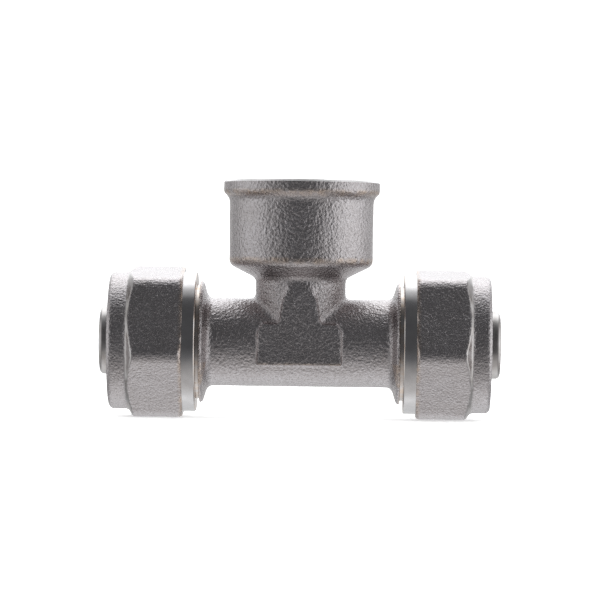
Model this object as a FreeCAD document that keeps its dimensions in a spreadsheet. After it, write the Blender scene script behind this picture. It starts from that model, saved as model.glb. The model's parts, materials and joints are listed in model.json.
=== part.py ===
"""Compression tee, 16 x G 1/2 female x 16, for multilayer pipe.

Millimetres. The run lies along X and the female branch points up along Z; the two axes cross at the
origin. Everything on the left side is the right side turned half a turn about Z, so that both
spigots keep right-hand threads.
"""
import FreeCAD, Part
import math
import os
import re

import Sketcher

Vector = FreeCAD.Vector

# Driving dimensions: (alias, value, meaning). Stations are distances from the branch axis along the
# run, or heights above the run axis; every other length says what it is.
SIZE_TABLE = [
    ("tube_radius", 7.7, "outside of the run tube"),
    ("waterway_radius", 4.25, "bore through the run"),
    ("flare_start", 15.2, "where the tube starts to flare out into the flange"),
    ("flare_round", 1.17, "radius of the flare's hollow"),
    ("flare_end", 16.35, "outer end of the hollow"),
    ("flare_end_radius", 8.65, "radius of the flare there"),
    ("flange_station", 17.5, "flat face of the flange"),
    ("flange_radius", 10.6, "rim of the flange"),
    ("flange_rim", 0.45, "thickness of the flange at its rim"),
    ("flange_edge", 0.05, "broken edge of the flange"),
    ("collar_radius", 9.98, "plain land between flange and spigot thread"),
    ("collar_end", 18.6, "outer end of the plain land"),
    ("undercut_end", 19.8, "outer end of the thread undercut"),
    ("spigot_end", 25.8, "mouth of the spigot"),
    ("undercut_slope", 0.5, "length of the run-out from undercut to crest"),
    ("spigot_lead", 0.6, "lead-in chamfer of the spigot"),
    ("pitch", 1.5, "pitch of the M20 nut thread"),
    ("thread_start", 19.35, "middle of the spigot's thread groove where it starts"),
    ("thread_overcut", 0.03, "how far the thread cuts start clear of the blank"),
    ("male_floor_half", 0.19, "half width of the spigot groove's flat floor"),
    ("female_floor_half", 0.13, "half width of the nut groove's flat floor"),
    ("thread_flank_angle", 30, "half angle of the nut thread, degrees"),
    ("male_crest_radius", 9.93, "crest of the spigot thread"),
    ("male_root_radius", 9.05, "root of the spigot thread"),
    ("pocket_radius", 8.15, "outer wall of the pipe pocket"),
    ("pocket_floor", 17.4, "bottom of the pipe pocket"),
    ("mouth_angle", 30, "half angle of the spigot mouth and of the nut cone, degrees"),
    ("mouth_start", 24.75, "inner end of the spigot mouth cone"),
    ("stem_radius", 5.9, "pipe stem"),
    ("stem_tip", 35.05, "end of the pipe stem"),
    ("tip_round", 0.8, "rounding of the stem end"),
    ("groove_floor_radius", 4.95, "bottom of the O-ring grooves"),
    ("groove_width", 1.7, "width of the O-ring grooves"),
    ("inner_groove", 22.6, "middle of the inner O-ring groove"),
    ("outer_groove", 28.2, "middle of the outer O-ring groove"),
    ("ring_cord_radius", 0.65, "section radius of the O-rings"),
    ("barb_start", 24.3, "first grip notch on the stem"),
    ("barb_step", 0.9, "spacing of the grip notches"),
    ("barb_depth", 0.25, "depth of the grip notches"),
    ("washer_thickness", 1.5, "insulating washer"),
    ("washer_clearance", 0.1, "play of the washer on both walls"),
    ("rim_top", 28.4, "mouth of the female socket"),
    ("rim_radius", 13.7, "band around the socket mouth"),
    ("rim_bottom", 26.1, "lower edge of the band"),
    ("socket_radius", 12.62, "socket wall below the band"),
    ("socket_foot_radius", 12.58, "socket wall just above its lower corner"),
    ("socket_top", 24.5, "where the band has run out into the wall"),
    ("socket_foot", 14.4, "where the lower corner starts"),
    ("shoulder_radius", 11.55, "outer end of the sloping shoulder"),
    ("shoulder_top", 13.15, "height of that outer end"),
    ("shoulder_foot_radius", 8.7, "inner end of the sloping shoulder"),
    ("shoulder_foot", 11.7, "height of that inner end"),
    ("neck_radius", 7.87, "neck between socket and run"),
    ("neck_top", 10.7, "where the neck becomes straight"),
    ("saddle_round", 1.3, "blend between neck and run"),
    ("thread_minor_radius", 9.3155, "minor radius of the G 1/2 socket"),
    ("socket_depth", 13.8, "depth of the G 1/2 wall below the mouth"),
    ("socket_lead", 1.35, "lead-in chamfer of the socket"),
    ("branch_waterway_radius", 5.5, "bore from socket to run"),
    ("pad_half_width", 7.2, "half width of the T pad's bar, on its flat"),
    ("pad_bottom", -3.7, "lower edge of the T pad, on its flat"),
    ("pad_bar_top", 3.35, "upper edge of the T pad's bar, on its flat"),
    ("pad_corner", 0.8, "width of the bar's cut corners"),
    ("pad_corner_height", 1.3, "height of the bar's cut corners"),
    ("pad_stem_half_width", 3.5, "half width of the T pad's stem at the bar"),
    ("pad_stem_foot", 0.3, "cut corner between bar and stem"),
    ("pad_stem_neck_half_width", 2.75, "half width of the stem at its neck"),
    ("pad_stem_neck", 8.1, "height of the neck"),
    ("pad_stem_top_half_width", 2.1, "half width of the stem at its top"),
    ("pad_top", 9.9, "top of the T pad"),
    ("pad_plane", 8.05, "flat of the pad, from the run axis"),
    ("pad_draft", 6, "draft of the pad's walls, degrees"),
    ("nut_inner_end", 18.1, "nut face next to the flange"),
    ("nut_outer_end", 33.3, "nut face at the pipe side"),
    ("hex_start", 20.3, "inner end of the hexagon"),
    ("hex_end", 30.35, "outer end of the hexagon"),
    ("hex_across_flats", 24.7, "spanner size, 25 less the forging allowance"),
    ("hex_corner_round", 2.85, "rounding of the hexagon's corners"),
    ("hex_reach", 15.0, "radius past every corner, where the chamfering cuts end"),
    ("hex_inner_foot_radius", 13.3, "where the small chamfer at the flange side starts"),
    ("nut_collar_radius", 12.0, "forged collar at the pipe side"),
    ("nut_band_radius", 12.25, "turned band next to the flange"),
    ("nut_band_edge", 0.15, "broken inner edge of the band"),
    ("nut_rim_round", 0.8, "rounded outer rim of the nut"),
    ("hex_chamfer_angle", 45, "chamfer of the hexagon, degrees from its end faces"),
    ("left_hex_turn", 20.3, "front flat of the left nut, degrees above level"),
    ("right_hex_turn", 22.5, "front flat of the right nut, degrees above level"),
    ("nut_land_radius", 10.05, "counterbore that runs on the spigot's land"),
    ("nut_land_end", 18.9, "outer end of the counterbore"),
    ("female_minor_radius", 9.19, "crest of the nut thread"),
    ("female_root_radius", 10.02, "root of the nut thread"),
    ("nut_thread_end", 27.2, "outer end of the nut thread"),
    ("relief_end", 28.6, "outer end of the thread relief"),
    ("relief_radius", 10.15, "thread relief of the nut"),
    ("cone_mouth_radius", 9.35, "wide end of the nut cone"),
    ("cone_start", 30.0, "station of the wide end"),
    ("nut_opening_radius", 8.2, "pipe opening of the nut"),
    ("olive_bore_radius", 8.05, "inside of the split ring"),
    ("olive_radius", 9.1, "outside of the split ring"),
    ("olive_nose_radius", 8.3, "narrow ends of the split ring"),
    ("olive_gap", 0.07, "radial play between the ring's cones and their seats"),
    ("olive_slit", 1.6, "width of the slit"),
    ("olive_waist_half_width", 0.45, "half width of the groove round the ring's waist"),
    ("olive_waist_depth", 0.4, "depth of that groove"),
    ("tooth_start", 0.9, "first grip tooth, from the ring's inner end"),
    ("tooth_step", 1.2, "spacing of the grip teeth"),
    ("tooth_depth", 0.22, "depth of the grooves between the teeth"),
    ("tooth_width", 0.64, "length of those grooves"),
]
SIZES = {alias: value for alias, value, meaning in SIZE_TABLE}

os.makedirs("parts", exist_ok=True)
doc = FreeCAD.newDocument("compression_tee")


# ---------------------------------------------------------------- helpers

def make_sheet():
    """Spreadsheet that holds every driving dimension."""
    sheet = doc.addObject("Spreadsheet::Sheet", "Sizes")
    for row, (alias, value, meaning) in enumerate(SIZE_TABLE, start=1):
        sheet.set("A%d" % row, alias)
        sheet.set("B%d" % row, str(value))
        sheet.set("C%d" % row, meaning)
        sheet.setAlias("B%d" % row, alias)
    doc.recompute()
    return sheet


def bound(text):
    """Expression text with each size's name pointing at the spreadsheet."""
    def full_name(match):
        word = match.group(0)
        return "Sizes." + word if word in SIZES else word
    return re.sub(r"[a-z_]+", full_name, text)


def plane(body, role):
    """One of the body's own origin planes."""
    for feature in body.Origin.OriginFeatures:
        if feature.Role == role:
            return feature
    raise ValueError(role)


def new_body(name):
    """A PartDesign body for one sub-part, named as its file."""
    body = doc.addObject("PartDesign::Body", name)
    body.Label = name
    return body


def arc_centre(start, end, radius, side):
    """Centre of the arc from start to end; side +1 puts it left of the way, -1 right."""
    chord = end - start
    height = math.sqrt(radius ** 2 - (chord.Length / 2) ** 2)
    across = Vector(-chord.y, chord.x, 0).normalize() * side
    return (start + end) * 0.5 + across * height


def sketch_outline(body, name, role, vertices, offset=None):
    """Closed outline whose every vertex is bound to the spreadsheet.

    A vertex is (across, up), or (across, up, radius, side) when an arc leads to it from the vertex
    before.
    """
    sketch = body.newObject("Sketcher::SketchObject", name)
    sketch.AttachmentSupport = (plane(body, role), [""])
    sketch.MapMode = "FlatFace"
    if offset:
        sketch.setExpression("AttachmentOffset.Base.z", bound(offset))
    points = []
    for vertex in vertices:
        across = float(sketch.evalExpression(bound(vertex[0])))
        up = float(sketch.evalExpression(bound(vertex[1])))
        points.append(Vector(across, up, 0))
    count = len(vertices)
    ends = []
    for index in range(count):
        start = points[index]
        end = points[(index + 1) % count]
        target = vertices[(index + 1) % count]
        if len(target) == 2:
            sketch.addGeometry(Part.LineSegment(start, end))
            ends.append((1, 2))
            continue
        radius = float(sketch.evalExpression(bound(target[2])))
        side = target[3]
        centre = arc_centre(start, end, radius, side)
        first = math.atan2(start.y - centre.y, start.x - centre.x)
        last = math.atan2(end.y - centre.y, end.x - centre.x)
        round_edge = Part.Circle(centre, Vector(0, 0, 1), radius)
        if side > 0:
            sketch.addGeometry(Part.ArcOfCircle(round_edge, first, last))
            ends.append((1, 2))
        else:
            sketch.addGeometry(Part.ArcOfCircle(round_edge, last, first))
            ends.append((2, 1))
        constraint = sketch.addConstraint(Sketcher.Constraint("Radius", index, radius))
        sketch.setExpression("Constraints[%d]" % constraint, bound(target[2]))
    for index in range(count):
        after = (index + 1) % count
        sketch.addConstraint(
            Sketcher.Constraint("Coincident", index, ends[index][1], after, ends[after][0]))
    for index, vertex in enumerate(vertices):
        for kind, value, text in (
                ("DistanceX", points[index].x, vertex[0]),
                ("DistanceY", points[index].y, vertex[1])):
            constraint = sketch.addConstraint(
                Sketcher.Constraint(kind, -1, 1, index, ends[index][0], value))
            sketch.setExpression("Constraints[%d]" % constraint, bound(text))
    return sketch


def turned(body, kind, name, vertices, axis):
    """Revolution or Groove of an outline in the XZ plane, about its H_Axis (X) or V_Axis (Z)."""
    sketch = sketch_outline(body, name + "_sketch", "XZ_Plane", vertices)
    feature = body.newObject("PartDesign::" + kind, name)
    feature.Profile = sketch
    feature.ReferenceAxis = (sketch, [axis])
    feature.Angle = 360
    finish(body, feature)
    return feature


def finish(body, feature):
    """Recompute, and stop if the new feature failed."""
    doc.recompute()
    if "Invalid" in feature.State or "Error" in feature.State or feature.Shape.isNull():
        raise RuntimeError("%s in %s: %s" % (feature.Name, body.Name, feature.State))
    if not feature.Shape.isValid():
        raise RuntimeError("%s in %s is not a valid shape" % (feature.Name, body.Name))


def cut_volume(body, feature, before):
    """Stop if a cutting feature took nothing away."""
    after = feature.Shape.Volume
    if not after < before - 0.05:
        raise RuntimeError("%s in %s did not cut" % (feature.Name, body.Name))


def helical_cut(body, name, vertices, length):
    """Right-hand thread groove about X, swept outward from its outline."""
    before = body.Shape.Volume
    sketch = sketch_outline(body, name + "_sketch", "XZ_Plane", vertices)
    thread = body.newObject("PartDesign::SubtractiveHelix", name)
    thread.Profile = sketch
    thread.ReferenceAxis = (sketch, ["H_Axis"])
    thread.Mode = 0
    thread.setExpression("Pitch", bound("pitch"))
    thread.setExpression("Height", bound(length))
    thread.Angle = 0
    thread.LeftHanded = False
    finish(body, thread)
    cut_volume(body, thread, before)
    return thread


def both_sides(body, features):
    """Repeat features of the right side on the left, half a turn about Z."""
    pattern = body.newObject("PartDesign::PolarPattern", features[0].Name + "_both")
    pattern.Originals = features
    z_axis = [item for item in body.Origin.OriginFeatures if item.Role == "Z_Axis"][0]
    pattern.Axis = (z_axis, [""])
    pattern.Angle = 360
    pattern.Occurrences = 2
    body.Tip = pattern
    finish(body, pattern)
    return pattern


def on_side(body, side):
    """Place a right-hand sub-part on its side of the tee."""
    turn = 180 if side == "left" else 0
    body.Placement = FreeCAD.Placement(
        Vector(0, 0, 0), FreeCAD.Rotation(Vector(0, 0, 1), turn))


def edges_where(shape, test):
    """Names of the edges whose middle point passes a test."""
    names = []
    for index, edge in enumerate(shape.Edges, start=1):
        middle = edge.valueAt((edge.FirstParameter + edge.LastParameter) / 2)
        if test(middle, edge):
            names.append("Edge%d" % index)
    return names


# ---------------------------------------------------------------- tee body

def run_outline():
    """Outside of the run from stem tip to stem tip, above the axis."""
    right = [
        ("flare_start", "tube_radius"),
        ("flare_end", "flare_end_radius", "flare_round", 1),
        ("flange_station - flange_rim - 4 * flange_edge", "flange_radius - 7 * flange_edge"),
        ("flange_station - flange_rim", "flange_radius"),
        ("flange_station - flange_edge", "flange_radius"),
        ("flange_station", "flange_radius - flange_edge"),
        ("flange_station", "collar_radius"),
        ("collar_end", "collar_radius"),
        ("collar_end", "male_root_radius"),
        ("undercut_end - undercut_slope / 2", "male_root_radius"),
        ("undercut_end + undercut_slope / 2", "male_crest_radius"),
        ("spigot_end - spigot_lead", "male_crest_radius"),
        ("spigot_end", "male_root_radius"),
        ("spigot_end", "0"),
    ]
    left = [("-(%s)" % vertex[0], vertex[1]) for vertex in reversed(right)]
    # on the left the hollow of the flare is passed the other way, so its arc leads to its foot
    left[-1] = left[-1] + ("flare_round", 1)
    return left + right


def add_run(body):
    """Tube, flanges and spigots as one turned blank."""
    turned(body, "Revolution", "run", run_outline(), "H_Axis")


def add_stem(body):
    """Pipe stem: pocket around it, O-ring grooves, grip notches, rounded tip."""
    stem = turned(body, "Revolution", "stem", [
        ("pocket_floor", "0"),
        ("pocket_floor", "stem_radius"),
        ("stem_tip - tip_round", "stem_radius"),
        ("stem_tip", "stem_radius - tip_round", "tip_round", -1),
        ("stem_tip", "0"),
    ], "H_Axis")
    both_sides(body, [stem])

    cuts = []
    before = body.Shape.Volume
    cuts.append(turned(body, "Groove", "pipe_pocket", [
        ("pocket_floor", "stem_radius"),
        ("pocket_floor", "pocket_radius"),
        ("mouth_start", "pocket_radius"),
        ("spigot_end + 0.5",
         "pocket_radius + (spigot_end + 0.5 - mouth_start) * tan(mouth_angle * 1 deg)"),
        ("spigot_end + 0.5", "stem_radius"),
    ], "H_Axis"))
    cut_volume(body, cuts[-1], before)
    for name in ("inner_groove", "outer_groove"):
        before = body.Shape.Volume
        cuts.append(turned(body, "Groove", name, [
            (name + " - groove_width / 2", "groove_floor_radius"),
            (name + " + groove_width / 2", "groove_floor_radius"),
            (name + " + groove_width / 2", "stem_radius + 0.3"),
            (name + " - groove_width / 2", "stem_radius + 0.3"),
        ], "H_Axis"))
        cut_volume(body, cuts[-1], before)
    for number in range(3):
        foot = "barb_start + barb_step * %d" % number
        before = body.Shape.Volume
        cuts.append(turned(body, "Groove", "grip_notch_%d" % (number + 1), [
            (foot, "stem_radius - barb_depth"),
            (foot, "stem_radius + 0.1"),
            (foot + " + (barb_depth + 0.1) * 2", "stem_radius + 0.1"),
        ], "H_Axis"))
        cut_volume(body, cuts[-1], before)
    both_sides(body, cuts)


def add_branch(body):
    """Neck, sloping shoulder, socket wall and rim band, turned about Z."""
    turned(body, "Revolution", "branch", [
        ("0", "0"),
        ("neck_radius", "0"),
        ("neck_radius", "neck_top"),
        ("shoulder_foot_radius", "shoulder_foot", "1.25", -1),
        ("shoulder_radius", "shoulder_top"),
        ("socket_foot_radius", "socket_foot", "1.5", 1),
        ("socket_radius", "socket_top"),
        ("rim_radius - 0.25", "rim_bottom - 0.1", "1.9", -1),
        ("rim_radius", "rim_bottom + 0.3"),
        ("rim_radius", "rim_top - 0.35"),
        ("rim_radius - 0.35", "rim_top"),
        ("0", "rim_top"),
    ], "V_Axis")


def add_saddle_blend(body):
    """Rounding between the neck and the run tube."""
    neck = SIZES["neck_radius"]
    tube = SIZES["tube_radius"]

    def on_saddle(middle, edge):
        on_neck = abs(math.hypot(middle.x, middle.y) - neck) < 0.02
        on_tube = abs(math.hypot(middle.y, middle.z) - tube) < 0.02
        return on_neck and on_tube and middle.z > 2

    base = body.Tip
    names = edges_where(base.Shape, on_saddle)
    blend = body.newObject("PartDesign::Fillet", "saddle_blend")
    blend.Base = (base, names)
    blend.setExpression("Radius", bound("saddle_round"))
    finish(body, blend)


def add_pads(body):
    """Raised T-shaped flats on the front and the back, drafted, as one pad through the tee."""
    # the outline is drawn at mid depth, so it is larger than the flat by what the draft takes off
    draw = " + pad_plane * tan(pad_draft * 1 deg)"
    right = [
        ("pad_half_width" + draw, "pad_bottom - pad_plane * tan(pad_draft * 1 deg)"),
        ("pad_half_width" + draw, "pad_bar_top - pad_corner_height" + draw),
        ("pad_half_width - pad_corner" + draw, "pad_bar_top" + draw),
        ("pad_stem_half_width + pad_stem_foot" + draw, "pad_bar_top" + draw),
        ("pad_stem_half_width" + draw, "pad_bar_top + pad_stem_foot" + draw),
        ("pad_stem_neck_half_width" + draw, "pad_stem_neck" + draw),
        ("pad_stem_top_half_width" + draw, "pad_top" + draw),
    ]
    left = [("-(%s)" % across, up) for across, up in reversed(right)]
    sketch = sketch_outline(body, "pads_sketch", "XZ_Plane", right + left)
    pads = body.newObject("PartDesign::Pad", "pads")
    pads.Profile = sketch
    pads.SideType = "Two sides"
    pads.setExpression("Length", bound("pad_plane"))
    pads.setExpression("Length2", bound("pad_plane"))
    pads.setExpression("TaperAngle", bound("-pad_draft"))
    pads.setExpression("TaperAngle2", bound("-pad_draft"))
    finish(body, pads)


def add_waterways(body):
    """Threaded socket (plain at its minor radius), drill cone, branch bore and run bore."""
    before = body.Shape.Volume
    socket = turned(body, "Groove", "socket", [
        ("0", "0"),
        ("branch_waterway_radius", "0"),
        ("branch_waterway_radius",
         "rim_top - socket_depth - (thread_minor_radius - branch_waterway_radius) * tan(30 deg)"),
        ("thread_minor_radius", "rim_top - socket_depth"),
        ("thread_minor_radius", "rim_top - socket_lead"),
        ("thread_minor_radius + socket_lead + 0.2", "rim_top + 0.2"),
        ("0", "rim_top + 0.2"),
    ], "V_Axis")
    cut_volume(body, socket, before)
    before = body.Shape.Volume
    run_bore = turned(body, "Groove", "run_bore", [
        ("-stem_tip - 0.5", "0"),
        ("-stem_tip - 0.5", "waterway_radius + 0.8"),
        ("-stem_tip + 0.3", "waterway_radius"),
        ("stem_tip - 0.3", "waterway_radius"),
        ("stem_tip + 0.5", "waterway_radius + 0.8"),
        ("stem_tip + 0.5", "0"),
    ], "H_Axis")
    cut_volume(body, run_bore, before)


def add_spigot_threads(body):
    """Right-hand M20 x 1.5 thread on both spigots."""
    depth = "(male_crest_radius + thread_overcut - male_root_radius)"
    half_mouth = "(male_floor_half + %s * tan(thread_flank_angle * 1 deg))" % depth
    thread = helical_cut(body, "spigot_thread", [
        ("thread_start - male_floor_half", "male_root_radius"),
        ("thread_start - " + half_mouth, "male_crest_radius + thread_overcut"),
        ("thread_start + " + half_mouth, "male_crest_radius + thread_overcut"),
        ("thread_start + male_floor_half", "male_root_radius"),
    ], "spigot_end + pitch - collar_end")
    both_sides(body, [thread])


def build_tee_body():
    """The forged body, one piece of brass."""
    body = new_body("tee_body")
    add_run(body)
    add_branch(body)
    add_saddle_blend(body)
    add_pads(body)
    add_stem(body)
    add_spigot_threads(body)
    add_waterways(body)
    return body


# ---------------------------------------------------------------- nut

def add_hexagon(body, side):
    """Hexagon with rounded corners, both ends turned to a cone so that its faces end in arcs."""
    # the left nut is turned half a turn about Z, which mirrors the angle of its flats
    sign = "-" if side == "left" else ""
    centre = "(hex_across_flats / 2 - hex_corner_round) / cos(30 deg)"
    vertices = []
    for corner in range(6):
        middle = "(%s%s_hex_turn * 1 deg + %d deg)" % (sign, side, 30 + 60 * corner)
        before = middle.replace(")", " - 30 deg)")
        after = middle.replace(")", " + 30 deg)")
        across = "-%s * cos%s - hex_corner_round * cos%s"
        up = "%s * sin%s + hex_corner_round * sin%s"
        vertices.append((across % (centre, middle, before), up % (centre, middle, before)))
        vertices.append((across % (centre, middle, after), up % (centre, middle, after),
                         "hex_corner_round", -1))
    sketch = sketch_outline(body, "hexagon_sketch", "YZ_Plane", vertices, offset="hex_start")
    hexagon = body.newObject("PartDesign::Pad", "hexagon")
    hexagon.Profile = sketch
    hexagon.setExpression("Length", bound("hex_end - hex_start"))
    finish(body, hexagon)

    for name, end, inward, foot in (("outer_chamfer", "hex_end", "-", "nut_collar_radius"),
                                    ("inner_chamfer", "hex_start", "+", "hex_inner_foot_radius")):
        drop = "(hex_reach - %s) * tan(hex_chamfer_angle * 1 deg)" % foot
        before = body.Shape.Volume
        chamfer = turned(body, "Groove", name, [
            (end, foot),
            (end, "hex_reach"),
            ("%s %s %s" % (end, inward, drop), "hex_reach"),
        ], "H_Axis")
        cut_volume(body, chamfer, before)


def build_nut(side):
    """Compression nut: forged collar, hexagon, turned band, threaded inside with a cone."""
    body = new_body(side + "_nut")
    turned(body, "Revolution", "collars", [
        ("nut_inner_end", "0"),
        ("nut_inner_end", "nut_band_radius - nut_band_edge"),
        ("nut_inner_end + nut_band_edge", "nut_band_radius"),
        ("hex_start", "nut_band_radius"),
        ("hex_start", "nut_collar_radius"),
        ("nut_outer_end - nut_rim_round", "nut_collar_radius"),
        ("nut_outer_end", "nut_collar_radius - nut_rim_round", "nut_rim_round", -1),
        ("nut_outer_end", "0"),
    ], "H_Axis")
    add_hexagon(body, side)
    before = body.Shape.Volume
    cone_end = "(cone_start + (cone_mouth_radius - nut_opening_radius) / tan(mouth_angle * 1 deg))"
    inside = turned(body, "Groove", "inside", [
        ("nut_inner_end - 0.5", "0"),
        ("nut_inner_end - 0.5", "nut_land_radius + 0.8"),
        ("nut_inner_end + 0.3", "nut_land_radius"),
        ("nut_land_end", "nut_land_radius"),
        ("nut_land_end + 0.5", "female_minor_radius"),
        ("nut_thread_end - 0.5", "female_minor_radius"),
        ("nut_thread_end", "relief_radius"),
        ("relief_end - 0.3", "relief_radius"),
        ("relief_end + 0.2", "cone_mouth_radius"),
        ("cone_start", "cone_mouth_radius"),
        (cone_end, "nut_opening_radius"),
        ("nut_outer_end - 0.3", "nut_opening_radius"),
        ("nut_outer_end + 0.5", "nut_opening_radius + 0.8"),
        ("nut_outer_end + 0.5", "0"),
    ], "H_Axis")
    cut_volume(body, inside, before)
    depth = "(female_root_radius - female_minor_radius + thread_overcut)"
    half_mouth = "(female_floor_half + %s * tan(thread_flank_angle * 1 deg))" % depth
    # the nut's groove lies half a pitch from the spigot's groove, where the spigot's ridge is
    start = "thread_start - pitch / 2"
    helical_cut(body, "nut_thread", [
        (start + " - female_floor_half", "female_root_radius"),
        (start + " - " + half_mouth, "female_minor_radius - thread_overcut"),
        (start + " + " + half_mouth, "female_minor_radius - thread_overcut"),
        (start + " + female_floor_half", "female_root_radius"),
    ], "nut_thread_end + pitch / 2 - collar_end")
    on_side(body, side)
    return body


# ---------------------------------------------------------------- split ring, O-rings, washer

def build_split_ring(side):
    """Slit brass ring with a cone at each end, a waist groove and grip teeth inside."""
    body = new_body(side + "_split_ring")
    slope = "tan(mouth_angle * 1 deg)"
    nose_in = "(mouth_start + (olive_nose_radius + olive_gap - pocket_radius) / %s)" % slope
    body_in = "(mouth_start + (olive_radius + olive_gap - pocket_radius) / %s)" % slope
    body_out = "(cone_start + (cone_mouth_radius - olive_radius - olive_gap) / %s)" % slope
    nose_out = "(cone_start + (cone_mouth_radius - olive_nose_radius - olive_gap) / %s)" % slope
    middle = "((%s + %s) / 2)" % (body_in, body_out)
    turned(body, "Revolution", "ring", [
        (nose_in, "olive_bore_radius"),
        (nose_in, "olive_nose_radius"),
        (body_in, "olive_radius"),
        (middle + " - olive_waist_half_width", "olive_radius"),
        (middle, "olive_radius - olive_waist_depth"),
        (middle + " + olive_waist_half_width", "olive_radius"),
        (body_out, "olive_radius"),
        (nose_out, "olive_nose_radius"),
        (nose_out, "olive_bore_radius"),
    ], "H_Axis")
    for number in range(4):
        foot = "%s + tooth_start + tooth_step * %d" % (nose_in, number)
        before = body.Shape.Volume
        tooth = turned(body, "Groove", "tooth_%d" % (number + 1), [
            (foot, "olive_bore_radius - tooth_depth / 2"),
            (foot, "olive_bore_radius + tooth_depth"),
            (foot + " + tooth_width", "olive_bore_radius - tooth_depth / 2"),
        ], "H_Axis")
        cut_volume(body, tooth, before)
    before = body.Shape.Volume
    slit_outline = sketch_outline(body, "slit_sketch", "YZ_Plane", [
        ("-olive_slit / 2", "olive_bore_radius * 0.6"),
        ("olive_slit / 2", "olive_bore_radius * 0.6"),
        ("olive_slit / 2", "olive_radius * 1.2"),
        ("-olive_slit / 2", "olive_radius * 1.2"),
    ], offset="spigot_end - 2")
    slit = body.newObject("PartDesign::Pocket", "slit")
    slit.Profile = slit_outline
    slit.setExpression("Length", bound("nut_outer_end - spigot_end + 2"))
    slit.Reversed = True
    finish(body, slit)
    cut_volume(body, slit, before)
    on_side(body, side)
    return body


def build_o_ring(side, place):
    """Rubber ring in one of the stem grooves."""
    body = new_body("%s_%s_o_ring" % (side, place))
    sketch = body.newObject("Sketcher::SketchObject", "cord_sketch")
    sketch.AttachmentSupport = (plane(body, "XZ_Plane"), [""])
    sketch.MapMode = "FlatFace"
    station = "%s_groove" % place
    centre = Vector(SIZES[station], SIZES["groove_floor_radius"] + SIZES["ring_cord_radius"], 0)
    sketch.addGeometry(Part.Circle(centre, Vector(0, 0, 1), SIZES["ring_cord_radius"]))
    for kind, value, text in (
            ("DistanceX", centre.x, station),
            ("DistanceY", centre.y, "groove_floor_radius + ring_cord_radius")):
        number = sketch.addConstraint(Sketcher.Constraint(kind, -1, 1, 0, 3, value))
        sketch.setExpression("Constraints[%d]" % number, bound(text))
    number = sketch.addConstraint(
        Sketcher.Constraint("Radius", 0, SIZES["ring_cord_radius"]))
    sketch.setExpression("Constraints[%d]" % number, bound("ring_cord_radius"))
    ring = body.newObject("PartDesign::Revolution", "ring")
    ring.Profile = sketch
    ring.ReferenceAxis = (sketch, ["H_Axis"])
    ring.Angle = 360
    finish(body, ring)
    on_side(body, side)
    return body


def build_washer(side):
    """Insulating washer at the foot of the stem."""
    body = new_body(side + "_insulating_washer")
    turned(body, "Revolution", "washer", [
        ("pocket_floor", "stem_radius + washer_clearance"),
        ("pocket_floor", "pocket_radius - washer_clearance"),
        ("pocket_floor + washer_thickness", "pocket_radius - washer_clearance"),
        ("pocket_floor + washer_thickness", "stem_radius + washer_clearance"),
    ], "H_Axis")
    on_side(body, side)
    return body


# ---------------------------------------------------------------- build and export

make_sheet()
sub_parts = [build_tee_body()]
for side in ("left", "right"):
    sub_parts.append(build_nut(side))
    sub_parts.append(build_split_ring(side))
    sub_parts.append(build_o_ring(side, "inner"))
    sub_parts.append(build_o_ring(side, "outer"))
    sub_parts.append(build_washer(side))
doc.recompute()

for item in doc.Objects:
    if "Invalid" in item.State or "Error" in item.State:
        raise RuntimeError("%s: %s" % (item.Name, item.State))
for body in sub_parts:
    if body.Shape.isNull() or not body.Shape.isValid() or len(body.Shape.Solids) != 1:
        raise RuntimeError("%s is not one valid solid" % body.Label)
    body.Shape.exportStep("parts/%s.step" % body.Label)
    print(body.Label, "volume %.1f mm3" % body.Shape.Volume)
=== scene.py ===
"""Compression tee, 16 x G 1/2 female x 16: the looks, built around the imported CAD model.

Lengths in the tables below are millimetres and are scaled by MM where geometry is made; Blender
itself works in metres. The run lies along X, the branch points up along Z, the front is -Y.
"""
import json
import math

import bmesh
import bpy
from mathutils import Matrix, Vector, noise


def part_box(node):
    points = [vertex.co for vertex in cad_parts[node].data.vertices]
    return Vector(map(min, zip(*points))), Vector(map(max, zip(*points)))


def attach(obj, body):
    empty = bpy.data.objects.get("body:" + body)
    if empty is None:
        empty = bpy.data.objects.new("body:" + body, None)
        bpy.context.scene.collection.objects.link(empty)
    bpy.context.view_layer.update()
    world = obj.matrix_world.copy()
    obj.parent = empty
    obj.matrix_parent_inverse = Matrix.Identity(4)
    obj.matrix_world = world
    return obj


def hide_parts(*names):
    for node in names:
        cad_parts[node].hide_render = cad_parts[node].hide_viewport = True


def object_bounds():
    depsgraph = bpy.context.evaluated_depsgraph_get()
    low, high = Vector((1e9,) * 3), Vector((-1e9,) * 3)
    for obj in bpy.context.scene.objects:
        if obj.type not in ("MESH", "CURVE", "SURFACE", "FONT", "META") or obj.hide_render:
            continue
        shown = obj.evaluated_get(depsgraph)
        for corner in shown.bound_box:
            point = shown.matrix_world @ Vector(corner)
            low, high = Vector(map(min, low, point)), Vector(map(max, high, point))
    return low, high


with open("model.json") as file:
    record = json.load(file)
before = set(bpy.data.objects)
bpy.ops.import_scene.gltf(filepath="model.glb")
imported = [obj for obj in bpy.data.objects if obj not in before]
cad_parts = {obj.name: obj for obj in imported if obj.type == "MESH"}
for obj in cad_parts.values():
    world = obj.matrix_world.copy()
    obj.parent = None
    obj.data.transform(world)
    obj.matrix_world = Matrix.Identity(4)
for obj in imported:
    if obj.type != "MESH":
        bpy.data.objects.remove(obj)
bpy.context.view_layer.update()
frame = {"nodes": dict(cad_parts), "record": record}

MM = 0.001
TAU = 2 * math.pi

# ---------------------------------------------------------------- sizes read from the frame

record = frame["record"]
mounts = {mount["name"]: mount for mount in record["mounts"]}
couplings = record["behaviour"]["couplings"]


def high(node, axis):
    """Highest coordinate of a CAD node, in millimetres."""
    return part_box(node)[1][axis] / MM


def low(node, axis):
    """Lowest coordinate of a CAD node, in millimetres."""
    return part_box(node)[0][axis] / MM


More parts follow.
